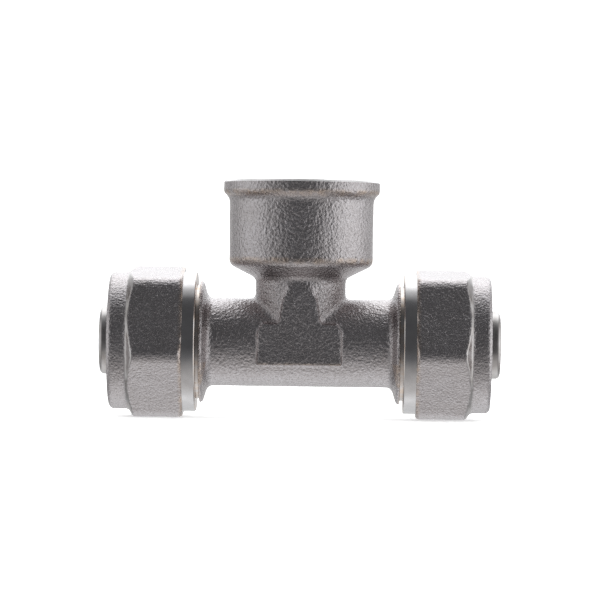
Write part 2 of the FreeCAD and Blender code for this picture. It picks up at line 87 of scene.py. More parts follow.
PITCH = abs(couplings[0]["ratio"]) * TAU / MM
STEM_TIP = high("tee_body", 0)
RIM_TOP = high("tee_body", 2)
RIM_RADIUS = high("tee_body", 1)
STEM_RADIUS = mounts["right_stem"]["dims"]["r_mm"]
WATERWAY_RADIUS = mounts["run_waterway"]["dims"]["r_mm"]
BRANCH_MINOR = mounts["branch_thread"]["dims"]["r_mm"]
NUT_INNER_END = low("right_nut", 0)
NUT_OUTER_END = high("right_nut", 0)

# ---------------------------------------------------------------- sizes shared with the CAD sheet

TUBE_RADIUS = 7.7
FLARE_START = 15.2
FLARE_ROUND = 1.17
FLARE_END = (16.35, 8.65)
FLANGE_STATION = 17.5
FLANGE_RADIUS = 10.6
FLANGE_RIM = 0.45
COLLAR_RADIUS = 9.98
COLLAR_END = 18.6
UNDERCUT_END = 19.8
SPIGOT_END = 25.8
MALE_CREST = 9.93
MALE_ROOT = 9.05
POCKET_RADIUS = 8.15
POCKET_FLOOR = 17.4
MOUTH_START = 24.75
CONE_SLOPE = math.tan(math.radians(30))
TIP_ROUND = 0.8
GROOVE_FLOOR = 4.95
GROOVE_WIDTH = 1.7
GROOVES = (22.6, 28.2)
NOTCH_START = 24.3
NOTCH_STEP = 0.9
NOTCH_DEPTH = 0.25

NECK_RADIUS = 7.87
BRANCH_WATERWAY = 5.5
SOCKET_DEPTH = 13.8
SOCKET_LEAD = 1.35
BRANCH_PITCH = 1.814
BRANCH_MAJOR = 20.955 / 2

PAD_PLANE = 8.05
PAD_DRAFT = math.tan(math.radians(6))
PAD_SIDE = [(7.2, -3.7), (7.2, 2.05), (6.4, 3.35), (3.8, 3.35), (3.5, 3.65), (2.75, 8.1), (2.1, 9.9)]

HEX_START = 20.3
HEX_END = 30.35
HEX_FLATS = 24.7
HEX_CORNER = 2.85
HEX_TURN = {"left": 20.3, "right": 22.5}
HEX_INNER_FOOT = 13.3
NUT_COLLAR = 12.0
NUT_BAND = 12.25
NUT_BAND_EDGE = 0.15
NUT_ROUND = 0.8
NUT_LAND = 10.05
NUT_LAND_END = 18.9
FEMALE_MINOR = 9.19
FEMALE_ROOT = 10.02
NUT_THREAD_END = 27.2
RELIEF_END = 28.6
RELIEF_RADIUS = 10.15
CONE_MOUTH = 9.35
CONE_START = 30.0
NUT_OPENING = 8.2

# ---------------------------------------------------------------- mesh helpers

SEGMENTS = 192
SHARP_ANGLE = math.radians(32)
TEE_VOXEL = 0.265
NUT_VOXEL = 0.22

# The skin's unevenness: height and length of each wave, and its share of the seed's shift.
FORGE_WAVES = [(0.035, 5.0, 1), (0.022, 1.7, 2), (0.016, 0.8, 3)]

# Material slots of every plated piece.
FORGED, TURNED_X, TURNED_Z, HANDLED = 0, 1, 2, 3


def new_object(name, mesh):
    """Object for a mesh, linked to the scene."""
    obj = bpy.data.objects.new(name, mesh)
    bpy.context.scene.collection.objects.link(obj)
    return obj


def solid_from(name, builder, slot):
    """Object from a finished bmesh, with every face in one material slot."""
    bmesh.ops.recalc_face_normals(builder, faces=builder.faces)
    for face in builder.faces:
        face.material_index = slot
    mesh = bpy.data.meshes.new(name)
    builder.to_mesh(mesh)
    builder.free()
    for material in metals:
        mesh.materials.append(material)
    return new_object(name, mesh)


def axis_point(axis, station, radius, angle):
    """Point at a station and an angle about the X or Z axis, in metres."""
    across = radius * math.cos(angle) * MM
    up = radius * math.sin(angle) * MM
    if axis == "X":
        return Vector((station * MM, across, up))
    return Vector((across, up, station * MM))


def turned_slot(axis):
    """Slot of the metal turned about an axis."""
    return TURNED_X if axis == "X" else TURNED_Z


def lathe(name, profile, axis="X", slot=None, segments=SEGMENTS):
    """Closed solid turned about an axis; its (station, radius) profile starts and ends on it."""
    builder = bmesh.new()
    rings = []
    for station, radius in profile:
        if radius < 1e-6:
            rings.append([builder.verts.new(axis_point(axis, station, 0, 0))])
            continue
        rings.append([builder.verts.new(axis_point(axis, station, radius, TAU * index / segments))
                      for index in range(segments)])
    for first, second in zip(rings, rings[1:]):
        for index in range(segments):
            after = (index + 1) % segments
            corners = [first[index % len(first)], first[after % len(first)],
                       second[after % len(second)], second[index % len(second)]]
            unique = list(dict.fromkeys(corners))
            if len(unique) >= 3:
                builder.faces.new(unique)
    return solid_from(name, builder, turned_slot(axis) if slot is None else slot)


def skin(builder, rings):
    """Side and end faces over a row of equal rings."""
    size = len(rings[0])
    for first, second in zip(rings, rings[1:]):
        for index in range(size):
            after = (index + 1) % size
            builder.faces.new([first[index], first[after], second[after], second[index]])
    builder.faces.new(rings[0])
    builder.faces.new(list(reversed(rings[-1])))


def helix_bar(name, axis, start, length, pitch, section, phase, steps_per_turn=72):
    """Right-hand helical bar that cuts a thread; its section is (along, radius) points."""
    builder = bmesh.new()
    rings = []
    for step in range(int(math.ceil(length / pitch * steps_per_turn)) + 1):
        turn = step / steps_per_turn
        rings.append([builder.verts.new(
            axis_point(axis, start + along + pitch * turn, radius, TAU * turn + phase))
            for along, radius in section])
    skin(builder, rings)
    return solid_from(name, builder, turned_slot(axis))


def thread_section(floor_radius, mouth_radius, floor_half, half_angle):
    """Section of a thread groove: narrow flat at the floor, flanks opening to the mouth."""
    spread = abs(mouth_radius - floor_radius) * math.tan(math.radians(half_angle))
    return [(-floor_half, floor_radius), (-floor_half - spread, mouth_radius),
            (floor_half + spread, mouth_radius), (floor_half, floor_radius)]


def inset_outline(outline, inset):
    """Closed counter-clockwise outline moved inward by a distance."""
    moved = []
    for index, point in enumerate(outline):
        here = Vector(point)
        first = (here - Vector(outline[index - 1])).normalized()
        second = (Vector(outline[(index + 1) % len(outline)]) - here).normalized()
        normal_a = Vector((-first.y, first.x))
        normal_b = Vector((-second.y, second.x))
        bisector = normal_a + normal_b
        moved.append(here + bisector * (inset / max(0.3, bisector.dot(normal_a))))
    return moved


def drafted_prism(name, outline, reach, draft):
    """Prism along Y, both ways from the middle, that narrows to the (x, z) outline at its ends."""
    builder = bmesh.new()
    rings = []
    for station in (-reach, 0.0, reach):
        rings.append([builder.verts.new(Vector((point.x, station, point.y)) * MM)
                      for point in inset_outline(outline, draft * (abs(station) - reach))])
    skin(builder, rings)
    return solid_from(name, builder, FORGED)


def combine(obj, tool, operation):
    """Boolean of two closed meshes; the tool is used up."""
    modifier = obj.modifiers.new("combine", "BOOLEAN")
    modifier.operation = operation
    modifier.solver = "MANIFOLD"
    modifier.object = tool
    apply_modifiers(obj)
    bpy.data.objects.remove(tool, do_unlink=True)


def apply_modifiers(obj):
    """Bake an object's modifiers into its mesh."""
    graph = bpy.context.evaluated_depsgraph_get()
    mesh = bpy.data.meshes.new_from_object(obj.evaluated_get(graph), depsgraph=graph)
    old = obj.data
    obj.modifiers.clear()
    obj.data = mesh
    bpy.data.meshes.remove(old)


def remesh(obj, voxel, smoothing):
    """Even mesh over a solid, its edges softened as a die leaves them."""
    modifier = obj.modifiers.new("remesh", "REMESH")
    modifier.mode = "VOXEL"
    modifier.voxel_size = voxel * MM
    add_relax(obj, smoothing)
    apply_modifiers(obj)
    if not obj.data.materials:
        for material in metals:
            obj.data.materials.append(material)


def add_relax(obj, passes):
    """Smoothing modifier that halves the distance to the neighbours in each pass."""
    relax = obj.modifiers.new("relax", "SMOOTH")
    relax.factor = 0.5
    relax.iterations = passes
    return relax


def relax_where(obj, weight_at, passes):
    """Smooth only the vertices that weight_at, given a point in millimetres, picks out."""
    group = obj.vertex_groups.new(name="relax")
    for vertex in obj.data.vertices:
        weight = weight_at(vertex.co / MM)
        if weight > 0:
            group.add([vertex.index], min(1.0, weight), "REPLACE")
    add_relax(obj, passes).vertex_group = group.name
    apply_modifiers(obj)
    obj.vertex_groups.clear()


def forge_unevenness(obj, seed):
    """Push a die-forged skin in and out a little, as the die and the shot blasting leave it."""
    shift = Vector((seed * 7.3, seed * 3.1, seed * 5.7))
    moves = []
    for vertex in obj.data.vertices:
        place = vertex.co / MM
        height = sum(amplitude * noise.noise(place / length + shift * share)
                     for amplitude, length, share in FORGE_WAVES)
        moves.append(vertex.co + vertex.normal * (height * MM))
    for vertex, target in zip(obj.data.vertices, moves):
        vertex.co = target


def put_in_slot(obj, slot, test):
    """Material slot for the faces whose middle, in millimetres, and normal pass the test."""
    for face in obj.data.polygons:
        if test(face.center / MM, face.normal):
            face.material_index = slot


def crisp_shading(obj):
    """Smooth shading that breaks at sharp edges and all round each flat turned face."""
    obj.data.shade_smooth()
    obj.data.set_sharp_from_angle(angle=SHARP_ANGLE)
    builder = bmesh.new()
    builder.from_mesh(obj.data)
    for edge in builder.edges:
        if len({faced(face) for face in edge.link_faces}) == 2:
            edge.smooth = False
    builder.to_mesh(obj.data)
    builder.free()


def faced(face):
    """Whether a face belongs to a flat face turned square to the X or Z axis."""
    return (face.material_index in (TURNED_X, TURNED_Z)
            and max(abs(face.normal.x), abs(face.normal.z)) > 0.9995)


def arc(start, end, radius, side, count=8):
    """Points on the arc from start to end; side +1 puts its centre left of the way, -1 right."""
    first = Vector(start)
    last = Vector(end)
    chord = last - first
    across = Vector((-chord.y, chord.x)).normalized() * side
    centre = (first + last) / 2 + across * math.sqrt(radius ** 2 - (chord.length / 2) ** 2)
    angle = math.atan2(first.y - centre.y, first.x - centre.x)
    sweep = 2 * math.asin(chord.length / 2 / radius) * side
    return [(centre.x + radius * math.cos(angle + sweep * step / count),
             centre.y + radius * math.sin(angle + sweep * step / count))
            for step in range(count + 1)]


def flipped(profile):
    """(radius, station) points as (station, radius)."""
    return [(station, radius) for radius, station in profile]


# ---------------------------------------------------------------- tee body

def forged_tee():
    """Run tube with flared flanges, neck, socket, rim band and T pads, as forged."""
    rim = FLANGE_STATION - FLANGE_RIM
    right = arc((FLARE_START, TUBE_RADIUS), FLARE_END, FLARE_ROUND, 1)
    right += [(rim - 0.2, FLANGE_RADIUS - 0.35), (rim, FLANGE_RADIUS + 0.03),
              (FLANGE_STATION + 0.6, FLANGE_RADIUS + 0.03), (FLANGE_STATION + 0.6, 0)]
    left = [(-station, radius) for station, radius in reversed(right)]
    tee = lathe("tee_body_forging", left + right, "X", FORGED)

    profile = [(0, 0), (NECK_RADIUS, 0)]
    profile += arc((NECK_RADIUS, 10.7), (8.7, 11.7), 1.25, -1)
    profile += arc((11.55, 13.15), (12.58, 14.4), 1.5, 1)
    profile += arc((12.62, 24.5), (RIM_RADIUS - 0.25, 26.0), 1.9, -1)
    profile += [(RIM_RADIUS, 26.4), (RIM_RADIUS, RIM_TOP + 0.8), (0, RIM_TOP + 0.8)]
    combine(tee, lathe("branch", flipped(profile), "Z", FORGED), "UNION")

    outline = PAD_SIDE + [(-x, z) for x, z in reversed(PAD_SIDE)]
    combine(tee, drafted_prism("pads", outline, PAD_PLANE, PAD_DRAFT), "UNION")

    remesh(tee, TEE_VOXEL, 1)
    relax_where(tee, near_saddle, 55)
    relax_where(tee, near_pad_top, 40)
    forge_unevenness(tee, 1)
    return tee


def near_saddle(point):
    """1 on the line where the neck meets the tube, fading out 1.4 mm away; 0 on the pads."""
    if point.z < 2 or abs(point.y) > 7.3:
        return 0
    off_neck = abs(math.hypot(point.x, point.y) - NECK_RADIUS)
    off_tube = abs(math.hypot(point.y, point.z) - TUBE_RADIUS)
    return 1 - max(off_neck, off_tube) / 1.4


def near_pad_top(point):
    """1 at the top of the pads' stems, where they run out into the neck."""
    if abs(point.y) < 5 or abs(point.x) > 4:
        return 0
    return min((point.z - 8.2) / 1.2, (12.0 - point.z) / 1.2, (4 - abs(point.x)) / 1.0)


def spigot_and_stem(side):
    """Machined end: land, thread, pipe pocket with its mouth cone, grooved stem, rounded tip."""
    mouth = POCKET_RADIUS + (SPIGOT_END - MOUTH_START) * CONE_SLOPE
    foot = FLANGE_STATION - 0.4
    profile = [(foot, 0), (foot, COLLAR_RADIUS), (COLLAR_END, COLLAR_RADIUS),
               (COLLAR_END, MALE_ROOT), (UNDERCUT_END - 0.25, MALE_ROOT),
               (UNDERCUT_END + 0.25, MALE_CREST), (SPIGOT_END - 0.6, MALE_CREST),
               (SPIGOT_END, MALE_ROOT), (SPIGOT_END, mouth),
               (MOUTH_START, POCKET_RADIUS), (POCKET_FLOOR, POCKET_RADIUS),
               (POCKET_FLOOR, STEM_RADIUS)]
    half = GROOVE_WIDTH / 2
    inner, outer = GROOVES
    profile += groove_points(inner, half)
    for number in range(3):
        notch = NOTCH_START + NOTCH_STEP * number
        profile += [(notch, STEM_RADIUS), (notch + 0.01, STEM_RADIUS - NOTCH_DEPTH),
                    (notch + NOTCH_DEPTH * 2, STEM_RADIUS)]
    profile += groove_points(outer, half)
    profile += arc((STEM_TIP - TIP_ROUND, STEM_RADIUS), (STEM_TIP, STEM_RADIUS - TIP_ROUND),
                   TIP_ROUND, -1)
    profile += [(STEM_TIP, 0)]
    end = lathe(side + "_spigot", profile)
    put_in_slot(end, HANDLED, on_stem)
    section = thread_section(MALE_ROOT, MALE_CREST + 0.03, 0.19, 30)
    combine(end, helix_bar("male_thread", "X", COLLAR_END + 0.75, SPIGOT_END + PITCH - COLLAR_END,
                           PITCH, section, TAU / 4), "DIFFERENCE")
    turn_to_side(end, side)
    return end


def on_stem(centre, _normal):
    """Whether a face of the machined end lies on the stem."""
    return centre.x > POCKET_FLOOR and math.hypot(centre.y, centre.z) < STEM_RADIUS + 0.1


def groove_points(middle, half):
    """Square groove in the stem."""
    return [(middle - half, STEM_RADIUS), (middle - half, GROOVE_FLOOR),
            (middle + half, GROOVE_FLOOR), (middle + half, STEM_RADIUS)]


def turn_to_side(obj, side):
    """Right-hand geometry stays; left-hand geometry turns half a turn about Z."""
    if side == "left":
        obj.data.transform(Matrix.Rotation(math.pi, 4, "Z"))


def build_tee():
    """The whole plated body: forged skin, turned ends, bores and the G 1/2 thread."""
    tee = forged_tee()
    top = [(RIM_TOP, 0), (RIM_TOP, RIM_RADIUS - 0.35), (RIM_TOP - 0.4, RIM_RADIUS + 0.05),
           (RIM_TOP - 0.4, RIM_RADIUS + 2), (RIM_TOP + 2, RIM_RADIUS + 2), (RIM_TOP + 2, 0)]
    combine(tee, lathe("rim_facing", top, "Z"), "DIFFERENCE")
    for side in ("left", "right"):
        facing = lathe("flange_facing", [
            (FLANGE_STATION, 0), (FLANGE_STATION, FLANGE_RADIUS - 0.08),
            (FLANGE_STATION - 0.1, FLANGE_RADIUS + 0.1), (FLANGE_STATION - 0.1, 12.5),
            (FLANGE_STATION + 2, 12.5), (FLANGE_STATION + 2, 0)], "X")
        turn_to_side(facing, side)
        combine(tee, facing, "DIFFERENCE")
        combine(tee, spigot_and_stem(side), "UNION")
    drill_start = RIM_TOP - SOCKET_DEPTH
    drill_end = drill_start - (BRANCH_MINOR - BRANCH_WATERWAY) * CONE_SLOPE
    socket = lathe("socket", [
        (0, 0), (0, BRANCH_WATERWAY), (drill_end, BRANCH_WATERWAY), (drill_start, BRANCH_MINOR),
        (RIM_TOP - SOCKET_LEAD, BRANCH_MINOR), (RIM_TOP + 0.2, BRANCH_MINOR + SOCKET_LEAD + 0.2),
        (RIM_TOP + 0.2, 0)], "Z")
    combine(tee, socket, "DIFFERENCE")
    section = thread_section(BRANCH_MAJOR, BRANCH_MINOR - 0.05, 0.15, 27.5)
    combine(tee, helix_bar("branch_thread", "Z", drill_start + 1.2, SOCKET_DEPTH + 0.6,
                           BRANCH_PITCH, section, 0.0), "DIFFERENCE")
    bore = lathe("run_bore", [
        (-STEM_TIP - 0.5, 0), (-STEM_TIP - 0.5, WATERWAY_RADIUS + 0.8),
        (-STEM_TIP + 0.3, WATERWAY_RADIUS), (STEM_TIP - 0.3, WATERWAY_RADIUS),
        (STEM_TIP + 0.5, WATERWAY_RADIUS + 0.8), (STEM_TIP + 0.5, 0)], "X")
    combine(tee, bore, "DIFFERENCE")
    crisp_shading(tee)
    tee.name = "tee_body_plated"
    return tee


# ---------------------------------------------------------------- nuts

def hexagon(turn):
    """Outline in Y and Z of a hexagon with rounded corners, one flat at the turn above -Y."""
    distance = (HEX_FLATS / 2 - HEX_CORNER) / math.cos(math.radians(30))
    outline = []
    for corner in range(6):
        middle = turn + 30 + 60 * corner
        for step in range(-30, 31, 5):
            centre = math.radians(middle)
            normal = math.radians(middle + step)
            outline.append((-distance * math.cos(centre) - HEX_CORNER * math.cos(normal),
                            distance * math.sin(centre) + HEX_CORNER * math.sin(normal)))
    return outline


def on_chamfer(centre, normal):
    """Whether a face lies on the turned chamfer of the hexagon's pipe side."""
    return (HEX_END - 2.2 < centre.x < HEX_END + 0.1 and 0.35 < normal.x < 0.98
            and math.hypot(centre.y, centre.z) > NUT_COLLAR)


def build_nut(side):
    """Compression nut: forged hexagon and collar, turned band, chamfers, cone and thread."""
    turn = HEX_TURN[side] if side == "right" else -HEX_TURN[side]
    builder = bmesh.new()
    rings = []
    for station in (HEX_START - 0.6, HEX_END + 0.3):
        rings.append([builder.verts.new(Vector((station, across, up)) * MM)
                      for across, up in hexagon(turn)])
    skin(builder, rings)
    nut = solid_from(side + "_nut_forging", builder, FORGED)
    ends = [(HEX_START, 0), (HEX_START, HEX_INNER_FOOT), (HEX_START + 2.5, HEX_INNER_FOOT + 2.5),
            (HEX_END - 2.5, NUT_COLLAR + 3.6)]
    ends += arc((HEX_END - 0.69, NUT_COLLAR + 0.4), (HEX_END, NUT_COLLAR), 0.8, 1)
    ends += [(HEX_END + 1, NUT_COLLAR), (HEX_END + 1, 0)]
    combine(nut, lathe("hexagon_ends", ends, "X", FORGED), "INTERSECT")
    collar = [(NUT_INNER_END - 0.6, 0), (NUT_INNER_END - 0.6, NUT_BAND + 0.3),
              (HEX_START - 0.1, NUT_BAND + 0.3), (HEX_START, NUT_COLLAR),
              (NUT_OUTER_END - NUT_ROUND, NUT_COLLAR)]
    collar += arc((NUT_OUTER_END - NUT_ROUND, NUT_COLLAR), (NUT_OUTER_END, NUT_COLLAR - NUT_ROUND),
                  NUT_ROUND, -1)[1:]
    collar += [(NUT_OUTER_END + 0.4, NUT_COLLAR - NUT_ROUND - 0.1), (NUT_OUTER_END + 0.4, 0)]
    combine(nut, lathe("collar", collar, "X", FORGED), "UNION")
    remesh(nut, NUT_VOXEL, 3)
    forge_unevenness(nut, 2 if side == "left" else 3)

    envelope = lathe("turning", [
        (NUT_INNER_END, 0), (NUT_INNER_END, NUT_BAND - NUT_BAND_EDGE),
        (NUT_INNER_END + NUT_BAND_EDGE, NUT_BAND), (HEX_START, NUT_BAND),
        (HEX_START, NUT_BAND + 3), (NUT_OUTER_END, NUT_BAND + 3), (NUT_OUTER_END, 0)], "X")
    combine(nut, envelope, "INTERSECT")
    put_in_slot(nut, HANDLED, on_chamfer)

    cone_end = CONE_START + (CONE_MOUTH - NUT_OPENING) / CONE_SLOPE
    inside = lathe("inside", [
        (NUT_INNER_END - 0.5, 0), (NUT_INNER_END - 0.5, NUT_LAND + 0.8),
        (NUT_INNER_END + 0.3, NUT_LAND), (NUT_LAND_END, NUT_LAND),
        (NUT_LAND_END + 0.5, FEMALE_MINOR), (NUT_THREAD_END - 0.5, FEMALE_MINOR),
        (NUT_THREAD_END, RELIEF_RADIUS), (RELIEF_END - 0.3, RELIEF_RADIUS),
        (RELIEF_END + 0.2, CONE_MOUTH), (CONE_START, CONE_MOUTH), (cone_end, NUT_OPENING),
        (NUT_OUTER_END - 0.3, NUT_OPENING), (NUT_OUTER_END + 0.5, NUT_OPENING + 0.8),
        (NUT_OUTER_END + 0.5, 0)], "X")
    combine(nut, inside, "DIFFERENCE")
    section = thread_section(FEMALE_ROOT, FEMALE_MINOR - 0.03, 0.13, 30)
    combine(nut, helix_bar("female_thread", "X", COLLAR_END + 0.75 - PITCH / 2,
                           NUT_THREAD_END + 0.7 - COLLAR_END, PITCH, section, TAU / 4),
            "DIFFERENCE")
    turn_to_side(nut, side)
    crisp_shading(nut)
    nut.name = side + "_nut_plated"
    return nut


# ---------------------------------------------------------------- materials

class Nodes:
    """Small helper that adds and links shader nodes."""

    def __init__(self, name):
        self.material = bpy.data.materials.new(name)
        self.material.use_nodes = True
        self.tree = self.material.node_tree
        self.tree.nodes.clear()
        self.output = self.add("ShaderNodeOutputMaterial")
        self.shader = self.add("ShaderNodeBsdfPrincipled")
        self.link(self.shader, "BSDF", self.output, "Surface")
        self.place = self.add("ShaderNodeTexCoord")
        self.parts = self.add("ShaderNodeSeparateXYZ")
        self.link(self.place, "Object", self.parts, "Vector")

    def add(self, kind, **settings):
        """New node with its settings."""
        node = self.tree.nodes.new(kind)
        for key, value in settings.items():
            if key in node.inputs:
                node.inputs[key].default_value = value
            else:
                setattr(node, key, value)
        return node

    def link(self, source, out_name, target, in_name):
        """Connect two sockets."""
        self.tree.links.new(source.outputs[out_name], target.inputs[in_name])

    def noise(self, size_mm, detail=2.0, roughness=0.5, place=None):
        """Noise whose features are about size_mm across, in the object or at another place."""
        node = self.add("ShaderNodeTexNoise", Detail=detail, Roughness=roughness)
        node.inputs["Scale"].default_value = 1 / (size_mm * MM)
        self.tree.links.new(place or self.place.outputs["Object"], node.inputs["Vector"])
        return node

    def swept(self, axis):
        """Place on a turned surface, (along the axis, radius, 0), the same all the way round."""
        flat = self.add("ShaderNodeCombineXYZ")
        for name in "XYZ":
            if name != axis:
                self.link(self.parts, name, flat, name)
        radius = self.add("ShaderNodeVectorMath", operation="LENGTH")
        self.link(flat, "Vector", radius, "Vector")
        joined = self.add("ShaderNodeCombineXYZ")
        self.link(self.parts, axis, joined, "X")
        self.link(radius, "Value", joined, "Y")
        return joined.outputs["Vector"]

    def ramp(self, source, out_name, stops):
        """Colour ramp with (position, colour) stops."""
        node = self.add("ShaderNodeValToRGB")
        elements = node.color_ramp.elements
        while len(elements) < len(stops):
            elements.new(0.5)
        for element, (position, colour) in zip(elements, stops):
            element.position = position
            element.color = (*colour, 1)
        self.link(source, out_name, node, "Fac")
        return node

    def range(self, source, out_name, low_in, high_in, low_out, high_out):
        """Map a value from one range to another, clamped."""
        node = self.add("ShaderNodeMapRange")
        for index, value in enumerate((low_in, high_in, low_out, high_out), start=1):
            node.inputs[index].default_value = value
        self.link(source, out_name, node, "Value")
        return node

    def mix(self, factor, first, second):
        """Mix two colours; each is a socket or a colour."""
        node = self.add("ShaderNodeMix", data_type="RGBA")
        for value, socket in ((factor, node.inputs[0]), (first, node.inputs[6]),
                              (second, node.inputs[7])):
            if isinstance(value, bpy.types.NodeSocket):
                self.tree.links.new(value, socket)
            elif isinstance(value, tuple):
                socket.default_value = (*value, 1)
            else:
                socket.default_value = value
        return node

    def maths(self, operation, *values):
        """Socket with the result of a maths operation on sockets and numbers."""
        node = self.add("ShaderNodeMath", operation=operation)
        for value, socket in zip(values, node.inputs):
            if isinstance(value, bpy.types.NodeSocket):
                self.tree.links.new(value, socket)
            else:
                socket.default_value = value
        return node.outputs[0]

    def distance(self, axis):
        """Socket with the distance from the middle along an axis."""
        return self.maths("ABSOLUTE", self.parts.outputs[axis])

    def zone(self, *limits):
        """Socket that is 1 in a zone; each limit is (coordinate, where 0 starts, where 1 starts)."""
        inside = None
        for coordinate, outer, inner in limits:
            step = self.add("ShaderNodeMapRange")
            step.inputs["From Min"].default_value = outer * MM
            step.inputs["From Max"].default_value = inner * MM
            self.tree.links.new(coordinate, step.inputs["Value"])
            inside = self.maths("MULTIPLY", inside or 1.0, step.outputs["Result"])
        return inside

    def bump(self, heights):
        """Chain of bumps, each (height socket, distance in mm, strength)."""
        before = None
        for height, distance, strength in heights:
            node = self.add("ShaderNodeBump")
            node.inputs["Strength"].default_value = strength
            node.inputs["Distance"].default_value = distance * MM
            self.tree.links.new(height, node.inputs["Height"])
            if before:
                self.link(before, "Normal", node, "Normal")
            before = node
        self.link(before, "Normal", self.shader, "Normal")


NICKEL = (0.68, 0.64, 0.65)
NICKEL_DARK = (0.61, 0.568, 0.566)
# Darker colour painted into the low points of the forged grain: painted shade in the pits.
NICKEL_PIT_SHADE = (0.51, 0.466, 0.462)
WORN_EDGE = (0.66, 0.48, 0.34)
BRASS = (0.72, 0.5, 0.22)


def tee_wear(nodes):
    """Where the tee's plating is rubbed through: flange rims, pad feet, edges of the socket."""
    along = nodes.distance("X")
    across = nodes.distance("Y")
    height = nodes.parts.outputs["Z"]
    return [nodes.zone((along, FLANGE_STATION - 0.35, FLANGE_STATION - 0.08)),
            nodes.zone((across, 7.4, 7.6), (height, -3.25, -3.6)),
            nodes.zone((height, 13.5, 14.2), (height, 15.1, 14.6)),
            nodes.zone((height, 25.3, 26.1), (height, 26.9, 26.4))]


def nut_wear(nodes):
    """Where the nuts' plating is rubbed through: the hexagon's edge at the flange side."""
    return [nodes.zone((nodes.distance("X"), HEX_START + 0.8, HEX_START + 0.2))]


def gap_wear(nodes):
    """Where the turned faces show brass: in the gap between flange and nut."""
    along = nodes.distance("X")
    return [nodes.zone((along, FLANGE_STATION - 0.2, FLANGE_STATION - 0.05),
                       (along, NUT_INNER_END + 0.2, NUT_INNER_END + 0.05))]


def add_wear(nodes, worn_zones, clean):
    """Colour socket that shows brass in spots of the worn zones over the clean colour socket."""
    worn = worn_zones(nodes)
    edges = worn[0]
    for zone in worn[1:]:
        edges = nodes.maths("MAXIMUM", edges, zone)
    spots = nodes.noise(1.6, detail=4.0, roughness=0.65)
    rubbed = nodes.range(spots, "Fac", 0.38, 0.66, 0.08, 0.62)
    wear = nodes.maths("MULTIPLY", edges, rubbed.outputs[0])
    return nodes.mix(wear, clean, WORN_EDGE).outputs[2]


def forged_nickel(name, grain_mm, depth_mm, worn_zones):
    """Nickel plate over a shot-blasted forging: orange-peel grain, painted shade in the grain's low
    points, brass showing on worn edges.
    """
    nodes = Nodes(name)
    nodes.shader.inputs["Metallic"].default_value = 1.0
    grain = nodes.noise(grain_mm, detail=3.0, roughness=0.6)
    pits = nodes.add("ShaderNodeTexVoronoi", feature="SMOOTH_F1")
    pits.inputs["Scale"].default_value = 1 / (grain_mm * 1.35 * MM)
    pits.inputs["Smoothness"].default_value = 0.6
    nodes.link(nodes.place, "Object", pits, "Vector")
    patches = nodes.noise(5.0, detail=3.0)
    tone = nodes.ramp(patches, "Fac", [(0.3, NICKEL_DARK), (0.7, NICKEL)])
    # Painted shade: where the grain, which also drives the bump, is low, the colour goes to the
    # darker pit colour.
    shade = nodes.range(grain, "Fac", 0.3, 0.68, 0.0, 1.0)
    plated = nodes.mix(shade.outputs[0], NICKEL_PIT_SHADE, tone.outputs["Color"])
    colour = add_wear(nodes, worn_zones, plated.outputs[2])
    nodes.tree.links.new(colour, nodes.shader.inputs["Base Color"])
    gloss = nodes.range(grain, "Fac", 0.3, 0.7, 0.3, 0.2)
    nodes.tree.links.new(gloss.outputs[0], nodes.shader.inputs["Roughness"])
    nodes.bump([(grain.outputs["Fac"], depth_mm, 1.0), (pits.outputs["Distance"], depth_mm / 2, 1.0)])
    return nodes.material


def turned_nickel(name, axis, dark, light, gloss_range, marks_mm):
    """Nickel plate over a turned face, with tool marks round the axis."""
    nodes = Nodes(name)
    nodes.shader.inputs["Metallic"].default_value = 1.0
    marks = nodes.noise(0.16, detail=3.0, place=nodes.swept(axis))
    haze = nodes.noise(2.0, detail=4.0)
    tone = nodes.ramp(haze, "Fac", [(0.35, dark), (0.65, light)])
    colour = add_wear(nodes, gap_wear, tone.outputs["Color"])
    nodes.tree.links.new(colour, nodes.shader.inputs["Base Color"])
    gloss = nodes.range(haze, "Fac", 0.3, 0.7, *gloss_range)
    nodes.tree.links.new(gloss.outputs[0], nodes.shader.inputs["Roughness"])
    nodes.bump([(marks.outputs["Fac"], marks_mm, 1.0)])
    return nodes.material


def turned_brass():
    """Bare turned brass with tool marks and slight tarnish."""
    nodes = Nodes("brass_turned")
    nodes.shader.inputs["Metallic"].default_value = 1.0
    marks = nodes.noise(0.12, detail=2.0, place=nodes.swept("X"))
    tarnish = nodes.noise(2.5, detail=3.0)
    tone = nodes.ramp(tarnish, "Fac", [(0.35, (0.55, 0.36, 0.15)), (0.65, BRASS)])
    nodes.link(tone, "Color", nodes.shader, "Base Color")
    gloss = nodes.range(tarnish, "Fac", 0.3, 0.7, 0.34, 0.2)
    nodes.tree.links.new(gloss.outputs[0], nodes.shader.inputs["Roughness"])
    nodes.bump([(marks.outputs["Fac"], 0.008, 1.0)])
    return nodes.material


def o_ring_rubber():
    """Black moulded rubber with a dull bloom."""
    nodes = Nodes("rubber_black")
    bloom = nodes.noise(0.8, detail=3.0)
    tone = nodes.ramp(bloom, "Fac", [(0.35, (0.012, 0.012, 0.013)), (0.7, (0.035, 0.035, 0.038))])
    nodes.link(tone, "Color", nodes.shader, "Base Color")
    gloss = nodes.range(bloom, "Fac", 0.3, 0.7, 0.45, 0.62)
    nodes.tree.links.new(gloss.outputs[0], nodes.shader.inputs["Roughness"])
    nodes.bump([(bloom.outputs["Fac"], 0.01, 0.6)])
    return nodes.material


